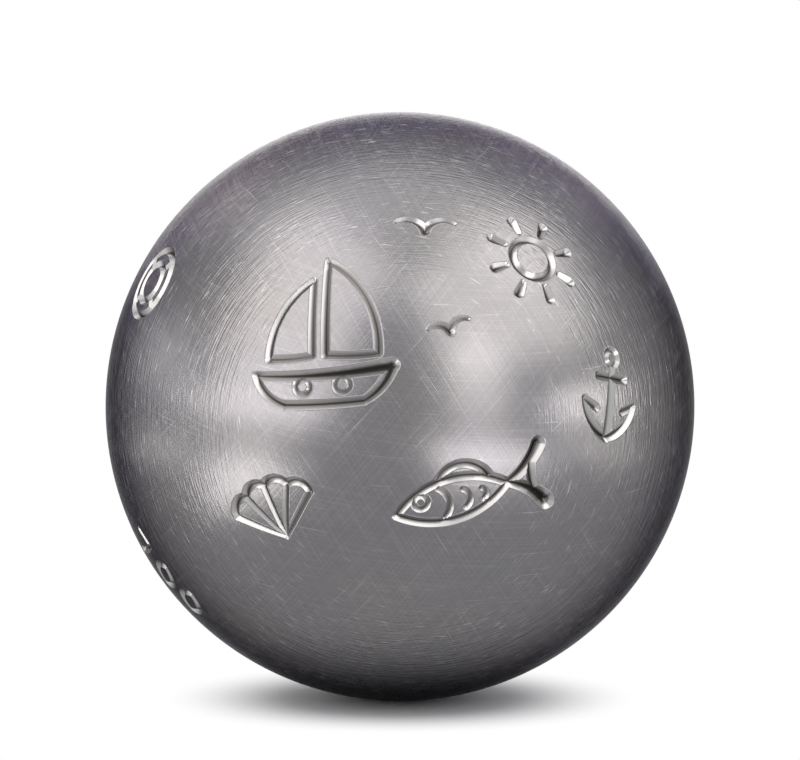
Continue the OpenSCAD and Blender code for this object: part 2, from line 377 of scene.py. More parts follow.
@dataclass(frozen=True)
class Grooves:
    """All the engraved lines, each along a circle of the ball.

    A line turns about its axis, at its polar angle from it, from its start
    direction towards its side direction. Its half width changes evenly from its
    start to its end. A closed line is a whole ring.
    """

    axis: Floats
    polar: Floats
    start: Floats
    side: Floats
    turn: Floats
    start_r: Floats
    end_r: Floats
    closed: NDArray[np.bool_]

    @classmethod
    def of(cls, figures: tuple[Figure, ...]) -> "Grooves":
        """Lay the strokes and rings of the figures on the ball.

        A stroke is the arc through its two ends and the middle of its bulge.

        Args:
            figures: The figures to engrave.

        Returns:
            Their lines, the strokes of each figure before its rings.
        """
        rows = []
        for figure in figures:
            ends = figure.size * np.array(figure.points)
            for first, last, bulge, from_w, to_w in figure.strokes:
                a, b = ends[first], ends[last]
                middle = (a + b) / 2 + bulge * np.array([a[1] - b[1], b[0] - a[0]])
                start, by, end = figure.on_ball(np.array([a, middle, b]))
                axis = unit(np.cross(by - start, end - by))
                polar = math.acos(start @ axis)
                out = unit(start - (start @ axis) * axis)
                side = np.cross(axis, out)
                turn = math.atan2(end @ side, end @ out) % FULL_TURN
                start_r, end_r = from_w * CUTTER.line_w / 2, to_w * CUTTER.line_w / 2
                rows.append((axis, polar, out, side, turn, start_r, end_r, False))
            for across, up, reach in figure.rings:
                axis = figure.on_ball(figure.size * np.array([across, up]))
                out = unit(np.cross(axis, [0.0, 0.0, 1.0]))
                half_w = figure.ring_w / 2
                polar = figure.size * reach / SIZES.ball_r
                rows.append((axis, polar, out, np.cross(axis, out), FULL_TURN, half_w, half_w, True))
        return cls(*(np.array(column) for column in zip(*rows)))

    def __len__(self) -> int:
        """Number of lines."""
        return len(self.polar)

    @property
    def length(self) -> Floats:
        """Length of each line's centre line."""
        return SIZES.ball_r * np.sin(self.polar) * self.turn

    def centre(self, line: Ints | int, share: Floats) -> Floats:
        """Find the point at a share of a line's length.

        Args:
            line: The number of the line, or one number for each share.
            share: Shares of the length, from 0 at the start.

        Returns:
            Directions of the points.
        """
        angle = (share * self.turn[line])[..., None]
        polar = np.asarray(self.polar[line])[..., None]
        circle = np.cos(angle) * self.start[line] + np.sin(angle) * self.side[line]
        return np.cos(polar) * self.axis[line] + np.sin(polar) * circle

    def half_width(self, line: Ints | int, share: Floats) -> Floats:
        """Half width of a line at a share of its length."""
        return self.start_r[line] + share * (self.end_r[line] - self.start_r[line])

    def measure(self, line: Ints | int, at: Floats) -> tuple[Floats, Floats]:
        """Find how deep the cutter of one line reaches at each place.

        The cutter is a cone whose tip runs along the centre line, so its reach at
        a place is the line's half width less the distance to the centre line,
        both taken at the share of the length where that difference is largest.
        For a half width that grows by m along the line, that share lies ahead of
        the nearest point by the distance times m / sqrt(1 - m * m).

        Args:
            line: The number of the line, or one number for each place.
            at: Directions of the places.

        Returns:
            The reach, as a half width that is negative outside the line, and the
            unit vectors along the surface towards the centre line.
        """
        axis, turn, length = self.axis[line], self.turn[line], self.length[line]
        closed = self.closed[line]
        polar = np.arccos(np.clip(dot(at, axis), -1, 1))
        angle = np.arctan2(dot(at, self.side[line]), dot(at, self.start[line]))
        angle = (angle - turn / 2 + math.pi) % FULL_TURN - math.pi + turn / 2
        growth = (self.end_r[line] - self.start_r[line]) / length
        ahead = SIZES.ball_r * np.abs(polar - self.polar[line]) * growth / np.sqrt(1 - growth**2)
        share = angle / turn + ahead / length
        share = np.where(closed, share, np.clip(share, 0, 1))
        centre = self.centre(line, share)
        gap = centre - at * dot(centre, at)[..., None]
        width = np.linalg.norm(gap, axis=-1, keepdims=True)
        distance = 2 * SIZES.ball_r * np.arcsin(np.clip(np.linalg.norm(centre - at, axis=-1) / 2, 0, 1))
        return self.half_width(line, share) - distance, gap / np.maximum(width, TINY)

    def deepest(self, at: Floats, leave_out: Ints | None = None) -> tuple[Floats, Ints]:
        """Find which line reaches deepest at each place.

        Args:
            at: Directions of the places.
            leave_out: For each place, a line that doesn't count.

        Returns:
            The largest reach, and the number of its line.
        """
        best = np.full(len(at), -np.inf)
        owner = np.zeros(len(at), np.int64)
        for line in range(len(self)):
            reach, _ = self.measure(line, at)
            better = reach > best
            if leave_out is not None:
                better &= leave_out != line
            best[better] = reach[better]
            owner[better] = line
        return best, owner

    def around(self, line: int, width_share: float, outside: float, spacing: float) -> list[Floats]:
        """Walk round one line at an even distance from its sides.

        Each point of the walk lies at a share of the line's half width, and a
        distance outside that, from a point of the centre line. On the two sides
        it is square to the sloping side, and round each end it is half a circle.

        Args:
            line: The number of the line.
            width_share: Share of the half width.
            outside: Distance outside that share.
            spacing: Largest distance between two points of the walk.

        Returns:
            Closed walks: one round a stroke, and two along a ring.
        """
        start_reach = width_share * self.start_r[line] + outside
        end_reach = width_share * self.end_r[line] + outside
        steps = max(LEAST_LINE_STEPS, math.ceil(self.length[line] / spacing))
        lean = math.asin(width_share * (self.end_r[line] - self.start_r[line]) / self.length[line])
        left = math.pi / 2 + lean
        behind = FULL_TURN - 2 * left
        along = np.arange(steps) / steps
        if self.closed[line]:
            walks = [(along, np.full(steps, left)), (along[::-1], np.full(steps, -left))]
        else:
            end_steps = max(LEAST_CAP_STEPS, math.ceil(2 * left * end_reach / spacing))
            start_steps = max(LEAST_CAP_STEPS, math.ceil(behind * start_reach / spacing))
            end_cap = left - 2 * left * np.arange(end_steps) / end_steps
            start_cap = -left - behind * np.arange(start_steps) / start_steps
            shares = np.concatenate([along, np.ones(end_steps), 1 - along, np.zeros(start_steps)])
            angles = np.concatenate([np.full(steps, left), end_cap, np.full(steps, -left), start_cap])
            walks = [(shares, angles)]
        places = []
        for shares, angles in walks:
            centre = self.centre(line, shares)
            onward = unit(np.cross(self.axis[line], centre))
            leftward = np.cross(centre, onward)
            heading = np.cos(angles)[:, None] * onward + np.sin(angles)[:, None] * leftward
            reach = ((1 - shares) * start_reach + shares * end_reach)[:, None] / SIZES.ball_r
            places.append(np.cos(reach) * centre + np.sin(reach) * heading)
        return places


@dataclass
class Surface:
    """A closed surface of triangles, in millimetres, with a normal at each corner.

    It may also give 1 for each face that the cutter made, and each point's depth.
    """

    name: str
    points: Floats
    triangles: Ints
    normals: Floats
    cut: Floats | None = None
    depth: Floats | None = None

    def object(self) -> bpy.types.Object:
        """Make the surface an object of the scene, with its place in its mesh.

        Returns:
            The object, at the origin and in metres.
        """
        mesh = bpy.data.meshes.new(self.name)
        mesh.from_pydata((self.points * MM).tolist(), [], self.triangles.tolist())
        mesh.polygons.foreach_set("use_smooth", np.ones(len(self.triangles), bool))
        if self.cut is not None:
            mask = mesh.attributes.new("cut", "FLOAT", "FACE")
            mask.data.foreach_set("value", self.cut.astype(np.float32))
        if self.depth is not None:
            depth = mesh.attributes.new("depth", "FLOAT", "POINT")
            depth.data.foreach_set("value", self.depth.astype(np.float32))
        mesh.normals_split_custom_set(self.normals.reshape(-1, 3).tolist())
        mesh.update()
        return new_object(self.name, mesh)


@dataclass(frozen=True)
class Run:
    """One run of a turned profile: radii and heights, and the normal at each."""

    points: Floats
    normals: Floats

    @classmethod
    def line(cls, *corners: tuple[float, float]) -> "Run":
        """Make a straight run, with the solid on its right.

        Args:
            corners: Radius and height of each of its points.

        Returns:
            The run.
        """
        ends = np.array(corners)
        along = unit(ends[-1] - ends[0])
        return cls(ends, np.tile([-along[1], along[0]], (len(ends), 1)))

    @classmethod
    def arc(cls, radius: float, polar_from: float, polar_to: float, outwards: bool, steps: int) -> "Run":
        """Make a run along a circle round the middle.

        Args:
            radius: Radius of the circle.
            polar_from: Angle from the weld's axis at its start.
            polar_to: Angle at its end.
            outwards: True where its normals point away from the middle.
            steps: Number of its steps.

        Returns:
            The run.
        """
        polar = np.linspace(polar_from, polar_to, steps + 1)
        out = np.stack([np.sin(polar), np.cos(polar)], axis=1)
        return cls(radius * out, out if outwards else -out)


@dataclass(frozen=True)
class Lathe:
    """Turns a profile about the weld's axis.

    A point of the surface is (r cos u, side * h, r sin u) for a point (r, h) of the
    profile and an angle u, where side is -1 for the front and 1 for the rear.
    """

    side: int
    angles: Floats

    def turn(self, radius_height: Floats) -> Floats:
        """Turn points or normals of a profile about the axis.

        Args:
            radius_height: Pairs of radius and height.

        Returns:
            One circle of vectors for each pair.
        """
        radius, height = radius_height[:, None, 0], radius_height[:, None, 1]
        level = np.broadcast_to(self.side * height, (len(radius), len(self.angles)))
        return np.stack([radius * np.cos(self.angles), level, radius * np.sin(self.angles)], axis=-1)

    def surface(self, runs: list[Run], whole_ring: bool = False) -> tuple[Floats, Ints, Floats]:
        """Turn a chain of runs, each of which starts where the last one ends.

        Args:
            runs: The runs, from the outside of the front pole on, or round a ring.
            whole_ring: True where the last run ends where the first one starts.

        Returns:
            The points, the triangles and the normal at each corner.
        """
        count = len(self.angles)
        following = np.roll(np.arange(count), -1)
        chain = np.concatenate([runs[0].points[:1], *(run.points[1:] for run in runs)])
        if whole_ring:
            chain = chain[:-1]
        rings = np.arange(len(chain) * count).reshape(len(chain), count)
        on_axis = chain[:, 0] < TINY
        rings[on_axis] = rings[on_axis, :1]
        triangles, normals = [], []
        first = 0
        for run in runs:
            steps = len(run.points) - 1
            at = (first + np.arange(steps + 1)) % len(chain)
            first += steps
            turned = self.turn(run.normals)
            corners = []
            for ring, column in ((0, slice(None)), (1, slice(None)), (1, following), (0, following)):
                index = rings[at][ring : ring + steps][:, column]
                normal = turned[ring : ring + steps][:, column]
                corners.append((index.ravel(), normal.reshape(-1, 3)))
            for order in ((0, 1, 2), (0, 2, 3)):
                triangles.append(np.stack([corners[k][0] for k in order], axis=1))
                normals.append(np.stack([corners[k][1] for k in order], axis=1))
        triangles, normals = np.concatenate(triangles), np.concatenate(normals)
        real = (triangles[:, 0] != triangles[:, 1]) & (triangles[:, 1] != triangles[:, 2])
        real &= triangles[:, 2] != triangles[:, 0]
        triangles, normals = triangles[real], normals[real]
        points = self.turn(chain).reshape(-1, 3)
        used, compact = np.unique(triangles, return_inverse=True)
        return points[used], compact.reshape(-1, 3), normals


def faced_outwards(points: Floats, triangles: Ints, normals: Floats) -> tuple[Ints, Floats]:
    """Order each triangle's corners so that its face points as its normals do.

    Args:
        points: The points.
        triangles: Three numbers of points for each triangle.
        normals: The normal at each corner.

    Returns:
        The triangles and the normals, in their new order.
    """
    a, b, c = (points[triangles[:, k]] for k in range(3))
    flip = dot(np.cross(b - a, c - a), normals.sum(axis=1)) < 0
    triangles, normals = triangles.copy(), normals.copy()
    triangles[flip] = triangles[flip][:, ::-1]
    normals[flip] = normals[flip][:, ::-1]
    return triangles, normals


CENTRE_ROW = (0.0, 0.0)


@dataclass
class FrontHalfShell:
    """The engraved half shell, with the lip that centres the rear one.

    Its outer surface is worked out on a flat chart: each direction goes along the
    straight line from the ball's rear pole to the plane that touches the front
    pole. The chart is cut into triangles whose edges follow the engraved lines.
    The corner pull is how far from a corner, as a share of the way to the middle
    of its face, the slope of the cut is measured for the corner's normal.
    """

    name: str = "front_half_shell_surface"
    rim_points: int = 360
    bore_steps: int = 30
    row_spacing: float = 0.19
    collar: float = 0.42
    collar_spacing: float = 0.36
    plain_spacing: float = 0.85
    rim_margin: float = 0.6
    rim_tolerance: float = 1e-5
    side_rows: int = 2
    corner_pull: float = 0.15
    merge_distance: float = 0.004

    def to_chart(self, at: Floats) -> Floats:
        """Chart points of directions, in millimetres near the front pole."""
        return SIZES.ball_d * at[:, [0, 2]] / (1 - at[:, 1:2])

    def from_chart(self, points: Floats) -> Floats:
        """Turn chart points back into directions.

        Args:
            points: Points of the chart.

        Returns:
            Their directions.
        """
        half = points / SIZES.ball_d
        spread = dot(half, half)[:, None]
        return np.concatenate([2 * half[:, :1], spread - 1, 2 * half[:, 1:]], axis=1) / (1 + spread)

    def plain_places(self, grooves: Grooves) -> Floats:
        """Spread places evenly over the shell, away from its lines and its rim.

        Place k of n lies at an even step down the axis from the front pole and a
        golden angle further round than the last, as seeds lie in a flower head.

        Args:
            grooves: The engraved lines.

        Returns:
            Directions of the places.
        """
        polar = SIZES.rim_polar()
        area = FULL_TURN * SIZES.ball_r**2 * (1 - math.cos(polar))
        count = int(area / self.plain_spacing**2)
        fall = 1 - (1 - math.cos(polar)) * (np.arange(count) + 0.5) / count
        radius = np.sqrt(1 - fall**2)
        angle = GOLDEN_ANGLE * np.arange(count)
        at = np.stack([radius * np.cos(angle), -fall, radius * np.sin(angle)], axis=1)
        reach, _ = grooves.deepest(at)
        inside_rim = np.arccos(fall) < polar - self.rim_margin / SIZES.ball_r
        return at[(reach < -self.collar - self.collar_spacing / 2) & inside_rim]

    def line_places(self, grooves: Grooves) -> tuple[Floats, Ints]:
        """Lay rows of places along every line, and the edges that must stay.

        The rows are the centre line, shares of the half width, the edge of the
        cut, the crest and the foot of the burr, and a collar outside it. A row
        stops where another line reaches deeper, at a place worked out between
        its last two points.

        Args:
            grooves: The engraved lines.

        Returns:
            Directions, and pairs of their numbers that the mesh must join.
        """
        rows = [(row / (self.side_rows + 1), 0.0) for row in range(self.side_rows + 2)]
        rows += [(1.0, CUTTER.burr_w / 2), (1.0, CUTTER.burr_w), (1.0, self.collar)]
        kept_rows = {CENTRE_ROW, (1.0, 0.0), (1.0, CUTTER.burr_w)}
        at, owner, firsts, seconds, fixed = [], [], [], [], []
        total = 0
        for line in range(len(grooves)):
            for row in rows:
                spacing = self.collar_spacing if row[1] == self.collar else self.row_spacing
                for walk in self.walks(grooves, line, row, spacing):
                    count = len(walk)
                    index = total + np.arange(count)
                    following = np.roll(index, -1)
                    if row == CENTRE_ROW and not grooves.closed[line]:
                        index, following = index[:-1], following[:-1]
                    at.append(walk)
                    owner.append(np.full(count, line))
                    firsts.append(index)
                    seconds.append(following)
                    fixed.append(np.full(len(index), row in kept_rows))
                    total += count
        at, owner = np.concatenate(at), np.concatenate(owner)
        first, second, fixed = np.concatenate(firsts), np.concatenate(seconds), np.concatenate(fixed)
        own, _ = grooves.measure(owner, at)
        others, _ = grooves.deepest(at, leave_out=owner)
        lead = own - others
        kept = lead >= -self.merge_distance / 2
        swap = kept[second] & ~kept[first]
        first[swap], second[swap] = second[swap], first[swap]
        ends = kept[first] & ~kept[second]
        share = np.clip(lead[first[ends]] / (lead[first[ends]] - lead[second[ends]]), 0, 1)[:, None]
        crossings = unit((1 - share) * at[first[ends]] + share * at[second[ends]])
        second[ends] = total + np.arange(ends.sum())
        whole = kept[first] & (ends | kept[second % total])
        edges = np.stack([first, second], axis=1)[whole & fixed]
        places = np.concatenate([at, crossings])
        used = np.concatenate([kept, np.ones(len(crossings), bool)])
        renumbered = np.cumsum(used) - 1
        return places[used], renumbered[edges]

    def walks(self, grooves: Grooves, line: int, row: tuple[float, float], spacing: float) -> list[Floats]:
        """Lay the places of one row of one line.

        Args:
            grooves: The engraved lines.
            line: The number of the line.
            row: Share of the half width, and distance outside that share.
            spacing: Largest distance between two places.

        Returns:
            One or two chains of directions.
        """
        if row != CENTRE_ROW:
            return grooves.around(line, row[0], row[1], spacing)
        steps = max(LEAST_LINE_STEPS, math.ceil(grooves.length[line] / spacing))
        shares = np.arange(steps) / steps if grooves.closed[line] else np.linspace(0, 1, steps + 1)
        return [grooves.centre(line, shares)]

    def outer_surface(self, grooves: Grooves) -> tuple[Floats, Ints, Floats, Floats, Floats]:
        """Cut the chart into triangles, and lower them into the engraved lines.

        A place on the ball lies at the ball's radius less the depth that the
        cutter reaches there, which is its reach over its spread. Beside a cut the
        metal stands up in a burr: a ridge that rises evenly to its crest and
        falls evenly to its foot. The normal at a corner leans towards the centre
        line by the slope that its face has there.

        Args:
            grooves: The engraved lines.

        Returns:
            The points, triangles, corner normals, 1 for each cut face, and each
            point's depth.
        """
        polar = SIZES.rim_polar()
        angles = FULL_TURN * np.arange(self.rim_points) / self.rim_points
        rim = np.stack(
            [
                math.sin(polar) * np.cos(angles),
                np.full(self.rim_points, -math.cos(polar)),
                math.sin(polar) * np.sin(angles),
            ],
            axis=1,
        )
        lines, edges = self.line_places(grooves)
        chart = self.to_chart(np.concatenate([rim, lines, self.plain_places(grooves)]))
        rim_index = np.arange(self.rim_points)
        rim_edges = np.stack([rim_index, np.roll(rim_index, -1)], axis=1)
        edges = np.concatenate([rim_edges, edges + self.rim_points])
        flat, _, faces, *_ = delaunay_2d_cdt(chart.tolist(), edges.tolist(), [], 0, self.merge_distance)
        at = self.from_chart(np.array([tuple(point) for point in flat]))
        triangles = np.array(faces)
        reach, _ = grooves.deepest(at)
        depth = np.maximum(reach, 0) / CUTTER.spread
        points = at * (SIZES.ball_r - depth + CUTTER.burr_height(reach))[:, None]
        corners = at[triangles]
        middle = unit(corners.mean(axis=1))
        face_reach, owner = grooves.deepest(middle)
        slope = np.where(face_reach > 0, 1 / CUTTER.spread, CUTTER.burr_slope(face_reach))
        normals = np.empty_like(corners)
        for corner in range(3):
            pulled = unit((1 - self.corner_pull) * corners[:, corner] + self.corner_pull * middle)
            _, inwards = grooves.measure(owner, pulled)
            normals[:, corner] = unit(corners[:, corner] + slope[:, None] * inwards)
        return points, triangles, normals, (face_reach > 0).astype(float), depth

    def build(self, grooves: Grooves) -> Surface:
        """Join the outer surface to the rim, the lip and the bore.

        Args:
            grooves: The engraved lines.

        Returns:
            The shell's whole surface.
        """
        points, triangles, normals, cut, depth = self.outer_surface(grooves)
        polar = SIZES.rim_polar()
        from_pole = np.arccos(np.clip(-unit(points)[:, 1], -1, 1))
        on_rim = np.flatnonzero(from_pole > polar - self.rim_tolerance)
        angles = np.arctan2(points[on_rim, 2], points[on_rim, 0])
        order = np.argsort(angles)
        rim, angles = on_rim[order], angles[order]
        lip_top = (SIZES.lip_r, SIZES.weld_edge(SIZES.lip_r))
        lip_end = (SIZES.lip_r, -SIZES.lip_l)
        bore_polar = math.acos(-SIZES.lip_l / SIZES.bore_r)
        bore_edge = (SIZES.bore_r * math.sin(bore_polar), -SIZES.lip_l)
        runs = [
            Run.line(SIZES.rim(), lip_top),
            Run.line(lip_top, lip_end),
            Run.line(lip_end, bore_edge),
            Run.arc(SIZES.bore_r, bore_polar, 0, outwards=False, steps=self.bore_steps),
        ]
        inner_points, inner_triangles, inner_normals = Lathe(-1, angles).surface(runs)
        count = len(angles)
        moved = np.where(
            inner_triangles < count, rim[inner_triangles % count], inner_triangles - count + len(points)
        )
        points = np.concatenate([points, inner_points[count:]])
        triangles = np.concatenate([triangles, moved])
        normals = np.concatenate([normals, inner_normals])
        triangles, normals = faced_outwards(points, triangles, normals)
        cut = np.concatenate([cut, np.zeros(len(moved))])
        depth = np.concatenate([depth, np.zeros(len(points) - len(depth))])
        return Surface(self.name, points, triangles, normals, cut, depth)


@dataclass
class RearHalfShell:
    """The plain half shell, with the rebate that fits over the lip."""

    name: str = "rear_half_shell_surface"
    round_steps: int = 240
    outer_steps: int = 100
    bore_steps: int = 30

    def build(self) -> Surface:
        """Turn the shell's profile from its pole to its rim and back inside.

        Returns:
            The shell's whole surface.
        """
        polar = SIZES.rim_polar()
        rebate_end = SIZES.lip_l + SIZES.lip_end_gap
        bore_polar = math.acos(rebate_end / SIZES.bore_r)
        rebate_top = (SIZES.rebate_r, SIZES.weld_edge(SIZES.rebate_r))
        step = (SIZES.rebate_r, rebate_end)
        bore_edge = (SIZES.bore_r * math.sin(bore_polar), rebate_end)
        runs = [
            Run.arc(SIZES.ball_r, 0, polar, outwards=True, steps=self.outer_steps),
            Run.line(SIZES.rim(), rebate_top),
            Run.line(rebate_top, step),
            Run.line(step, bore_edge),
            Run.arc(SIZES.bore_r, bore_polar, 0, outwards=False, steps=self.bore_steps),
        ]
        return turned(self.name, self.round_steps, runs)


@dataclass
class WeldCapRun:
    """The run of weld that fills the V groove, turned flush with the ball."""

    name: str = "weld_cap_run_surface"
    round_steps: int = 360
    outer_steps: int = 12

    def build(self) -> Surface:
        """Turn the section of the run: two sides, its foot and its outside.

        Returns:
            The run's whole surface.
        """
        polar = SIZES.rim_polar()
        rim_r, rim_h = SIZES.rim()
        foot_r, foot_h = SIZES.cap_run_r, SIZES.weld_edge(SIZES.cap_run_r)
        runs = [
            Run.arc(SIZES.ball_r, polar, math.pi - polar, outwards=True, steps=self.outer_steps),
            Run.line((rim_r, -rim_h), (foot_r, -foot_h)),
            Run.line((foot_r, -foot_h), (foot_r, foot_h)),
            Run.line((foot_r, foot_h), (rim_r, rim_h)),
        ]
        return turned(self.name, self.round_steps, runs, whole_ring=True)


def turned(name: str, round_steps: int, runs: list[Run], whole_ring: bool = False) -> Surface:
    """Turn a profile into a surface with its faces outwards.

    Args:
        name: Name of the surface.
        round_steps: Number of steps round the axis.
        runs: The runs of the profile.
        whole_ring: True where the last run ends where the first one starts.

    Returns:
        The surface.
    """
    angles = FULL_TURN * np.arange(round_steps) / round_steps
    points, triangles, normals = Lathe(1, angles).surface(runs, whole_ring)
    triangles, normals = faced_outwards(points, triangles, normals)
    return Surface(name, points, triangles, normals)


class Nodes:
    """Short calls that fill one node tree."""

    def __init__(self, tree: bpy.types.NodeTree) -> None:
        """Work on one tree."""
        self.tree = tree

    def add(self, kind: str, *operands: object, **settings: object) -> bpy.types.Node:
        """Add a node.

        Args:
            kind: The node's type.
            operands: What goes into its first sockets: a socket, a value, or None.
            settings: Values of the node's own properties.

        Returns:
            The node.
        """
        node = self.tree.nodes.new(kind)
        for name, value in settings.items():
            setattr(node, name, value)
        for socket, operand in zip(node.inputs, operands):
            self.feed(socket, operand)
        return node

    def feed(self, socket: Socket, operand: object) -> None:
        """Link a socket to another, or set its value.

        Args:
            socket: The socket that is fed.
            operand: Another socket, a value, or None to leave it as it is.
        """
        if isinstance(operand, Socket):
            self.tree.links.new(operand, socket)
        elif operand is not None:
            socket.default_value = operand

    def math(self, operation: str, *operands: object, clamp: bool = False) -> Socket:
        """Add a Math node and give its result."""
        return self.add("ShaderNodeMath", *operands, operation=operation, use_clamp=clamp).outputs[0]

    def ramp(self, value: object, low: float, high: float) -> Socket:
        """Share of the way that a value has gone from low to high, from 0 to 1."""
        return self.add("ShaderNodeMapRange", value, low, high, interpolation_type="SMOOTHSTEP").outputs[0]

    def noise(self, at: Socket, scale: float, detail: float) -> Socket:
        """Add a noise in space.

        Args:
            at: The place.
            scale: How often it changes in each unit of length.
            detail: How many finer noises are laid over it.

        Returns:
            Its value, around 0.5.
        """
        node = self.add("ShaderNodeTexNoise", at, noise_dimensions="3D")
        node.inputs["Scale"].default_value = scale
        node.inputs["Detail"].default_value = detail
        return node.outputs[0]

    def mix(self, share: object, first: object, second: object) -> Socket:
        """Mix two colours.

        Args:
            share: Share of the second colour.
            first: The first colour.
            second: The second colour.

        Returns:
            The mixed colour.
        """
        node = self.add("ShaderNodeMix", data_type="RGBA")
        self.feed(node.inputs["Factor"], share)
        for socket, operand in (("A", first), ("B", second)):
            inputs = [place for place in node.inputs if place.name == socket and place.type == "RGBA"]
            self.feed(inputs[0], operand)
        return next(place for place in node.outputs if place.type == "RGBA")

    def group(self, tree: bpy.types.NodeTree, **operands: object) -> bpy.types.Node:
        """Place a node group.

        Args:
            tree: The group.
            operands: What goes into its inputs, by their names.

        Returns:
            The node that holds it.
        """
        node = self.add("ShaderNodeGroup", node_tree=tree)
        for name, operand in operands.items():
            self.feed(node.inputs[name], operand)
        return node


def new_material(name: str) -> tuple[bpy.types.Material, Nodes]:
    """Start a material that has no nodes yet.

    Args:
        name: The material's name.

    Returns:
        The material, and the calls that fill its tree.
    """
    made = bpy.data.materials.new(name)
    made.use_nodes = True
    made.node_tree.nodes.clear()
    return made, Nodes(made.node_tree)


class SocketKind(Enum):
    """Kinds of socket that the node groups use."""

    NUMBER = "NodeSocketFloat"
    VECTOR = "NodeSocketVector"


def new_group(
    name: str, inputs: dict[str, SocketKind], outputs: dict[str, SocketKind]
) -> tuple[Nodes, Sockets, Sockets]:
    """Start a node group.

    Args:
        name: The group's name.
        inputs: Names and kinds of its inputs.
        outputs: Names and kinds of its outputs.

    Returns:
        Its nodes, its inputs' sockets by name and its outputs' sockets by name.
    """
    tree = bpy.data.node_groups.new(name, "ShaderNodeTree")
    for label, kind in inputs.items():
        tree.interface.new_socket(name=label, in_out="INPUT", socket_type=kind.value)
    for label, kind in outputs.items():
        tree.interface.new_socket(name=label, in_out="OUTPUT", socket_type=kind.value)
    nodes = Nodes(tree)
    given = dict(nodes.add("NodeGroupInput").outputs.items())
    result = dict(nodes.add("NodeGroupOutput").inputs.items())
    return nodes, given, result


SCRATCH_FADE = 0.2


def scratch_group() -> bpy.types.NodeTree:
    """Make the group that draws one set of scratches.

    The ball is turned, and a noise is stretched along the circles round its X
    axis: it changes quickly from circle to circle, and slowly along each. The
    scratches are where the noise stands above a level, and they grow to their
    full depth as it rises by a span. They fade out towards the axis, where the
    circles are small, and are gone where the height along it is a given share
    of the radius. The fade's length is a share of the radius as well.

    Returns:
        The group, whose output is 1 in a scratch and 0 outside it.
    """
    kinds = {
        "Position": SocketKind.VECTOR,
        "Turn": SocketKind.VECTOR,
        "Across": SocketKind.NUMBER,
        "Along": SocketKind.NUMBER,
        "Level": SocketKind.NUMBER,
        "Span": SocketKind.NUMBER,
        "Reach": SocketKind.NUMBER,
    }
    nodes, given, result = new_group("scratches", kinds, {"Mask": SocketKind.NUMBER})
    turned_place = nodes.add("ShaderNodeVectorRotate", given["Position"], rotation_type="EULER_XYZ")
    nodes.feed(turned_place.inputs["Rotation"], given["Turn"])
    parts = nodes.add("ShaderNodeSeparateXYZ", turned_place.outputs[0]).outputs
    height = nodes.math("DIVIDE", parts[0], SIZES.ball_r)
    polar = nodes.math("ARCSINE", height)
    across = nodes.math("MULTIPLY", nodes.math("MULTIPLY", polar, SIZES.ball_r), given["Across"])
    stretched = nodes.add(
        "ShaderNodeCombineXYZ",
        across,
        nodes.math("MULTIPLY", parts[1], given["Along"]),
        nodes.math("MULTIPLY", parts[2], given["Along"]),
    )
    noise = nodes.noise(stretched.outputs[0], scale=1.0, detail=0.0)
    above = nodes.math("SUBTRACT", noise, given["Level"])
    mask = nodes.math("DIVIDE", above, given["Span"], clamp=True)
    beyond = nodes.math("SUBTRACT", nodes.math("ABSOLUTE", height), given["Reach"])
    fade = nodes.ramp(beyond, -SCRATCH_FADE, 0.0)
    nodes.feed(result["Mask"], nodes.math("MULTIPLY", mask, nodes.math("SUBTRACT", 1.0, fade)))
    return nodes.tree


LEAST_SPECK = 0.4
SPECK_SHARPNESS = 3.0


def speck_group() -> bpy.types.NodeTree:
    """Make the group that scatters small round specks.

    Space is cut into cells, and each cell holds a point. A speck is what lies
    within a radius of the point, in the share of the cells that are chosen. The
    radius is a random share of the largest one.

    Returns:
        The group, whose outputs are a mask and a random number for each speck.
    """
    kinds = {
        "Position": SocketKind.VECTOR,
        "Density": SocketKind.NUMBER,
        "Radius": SocketKind.NUMBER,
        "Share": SocketKind.NUMBER,
    }
    results = {"Mask": SocketKind.NUMBER, "Chance": SocketKind.NUMBER}
    nodes, given, result = new_group("specks", kinds, results)
    cells = nodes.add("ShaderNodeTexVoronoi", given["Position"], voronoi_dimensions="3D", feature="F1")
    nodes.feed(cells.inputs["Scale"], given["Density"])
    random = nodes.add("ShaderNodeSeparateColor", cells.outputs["Color"]).outputs
    largest = nodes.math("MULTIPLY", given["Radius"], given["Density"])
    reach = nodes.math("DIVIDE", cells.outputs["Distance"], largest)
    size = nodes.math("ADD", LEAST_SPECK, nodes.math("MULTIPLY", 1 - LEAST_SPECK, random[1]))
    inside = nodes.math("SUBTRACT", 1.0, nodes.math("DIVIDE", reach, size))
    soft = nodes.math("MULTIPLY", inside, SPECK_SHARPNESS, clamp=True)
    chosen = nodes.math("LESS_THAN", random[0], given["Share"])
    nodes.feed(result["Mask"], nodes.math("MULTIPLY", soft, chosen))
    nodes.feed(result["Chance"], random[2])
    return nodes.tree


